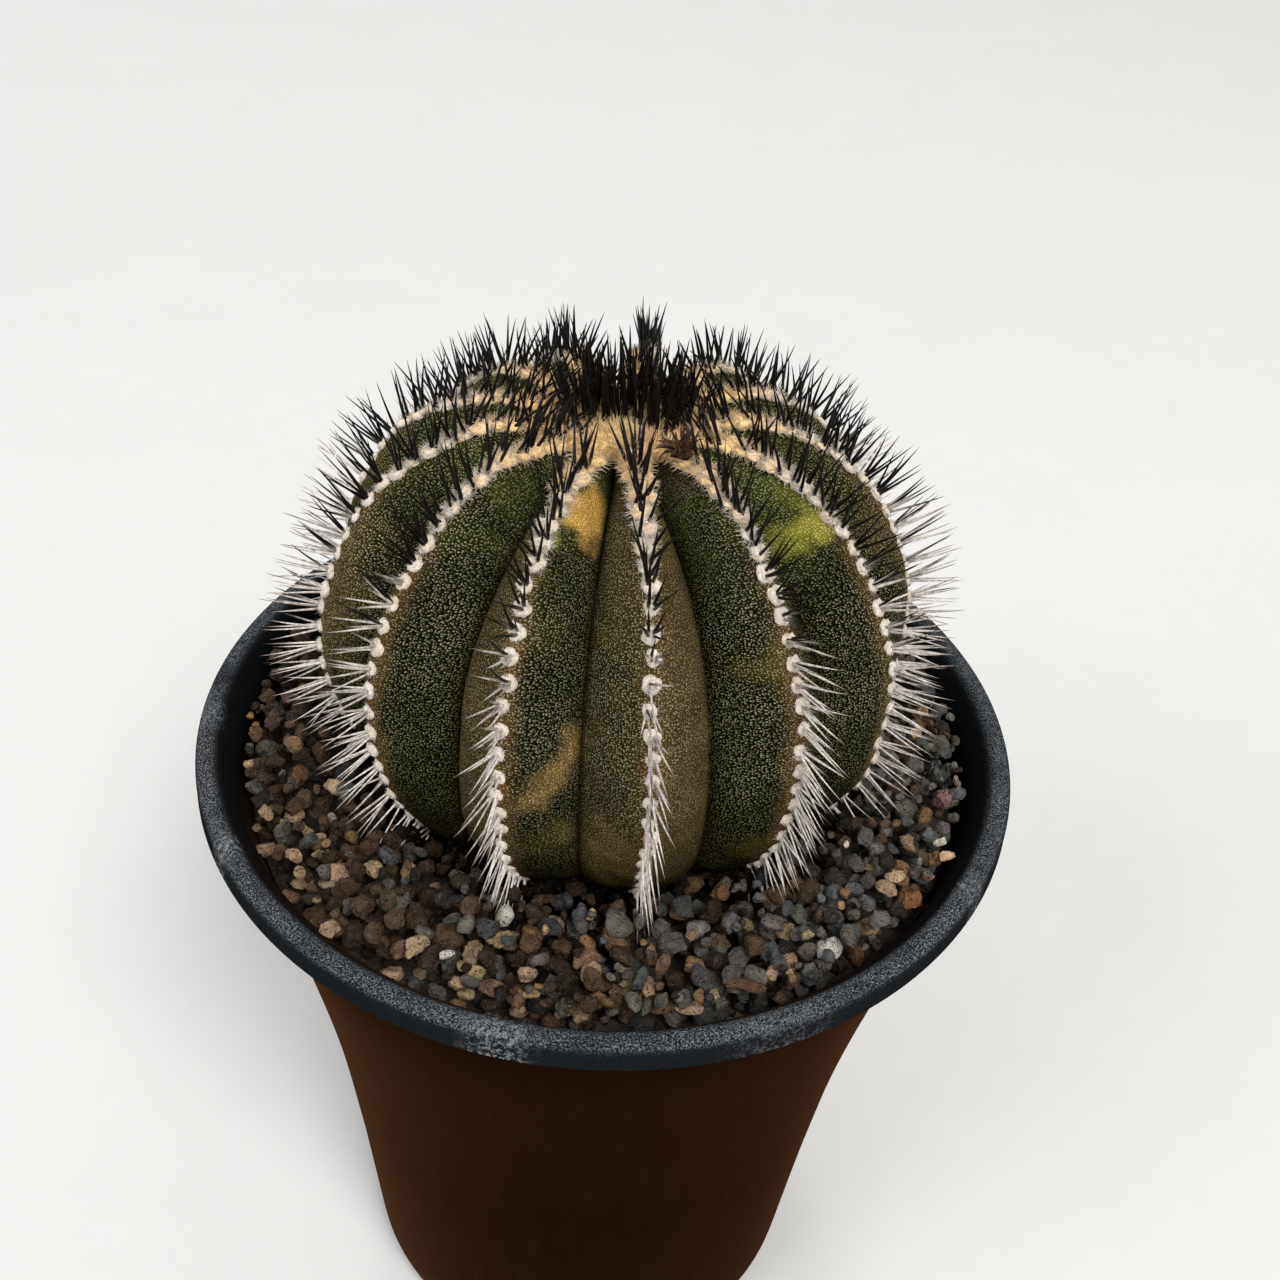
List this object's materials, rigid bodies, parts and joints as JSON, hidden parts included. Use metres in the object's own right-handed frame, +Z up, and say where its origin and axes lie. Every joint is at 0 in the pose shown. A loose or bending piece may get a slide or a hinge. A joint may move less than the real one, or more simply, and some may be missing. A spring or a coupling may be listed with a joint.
{
  "type": "potted round cactus",
  "caption": "Round ribbed cactus with combs of spines along its ribs and a woolly crown, growing in grit in a tapered pot with a rolled rim.",
  "frame": {"origin": "centre of the pot's foot on the surface that it stands on", "axes": "+Z up along the pot's axis; the side that the picture shows faces -Y, with +X to its right"},
  "size_m": [0.15, 0.15, 0.2255],
  "materials": {
    "pot_plastic": "satin",
    "grit": "matte",
    "cactus_skin": "satin",
    "areole_wool": "matte",
    "golden_wool": "matte",
    "black_spines": "satin",
    "dried_flower": "matte"
  },
  "bodies": {
    "root": {"pot": "pot_plastic", "grit": "grit", "cactus_body": "cactus_skin", "areole_row_01": "areole_wool", "areole_row_02": "areole_wool", "areole_row_03": "areole_wool", "areole_row_04": "areole_wool", "areole_row_05": "areole_wool", "areole_row_06": "areole_wool", "areole_row_07": "areole_wool", "areole_row_08": "areole_wool", "areole_row_09": "areole_wool", "areole_row_10": "areole_wool", "areole_row_11": "areole_wool", "areole_row_12": "areole_wool", "areole_row_13": "areole_wool", "crown_wool": "golden_wool", "crown_spines": "black_spines", "dried_flower": "dried_flower"}
  },
  "joints": []
}
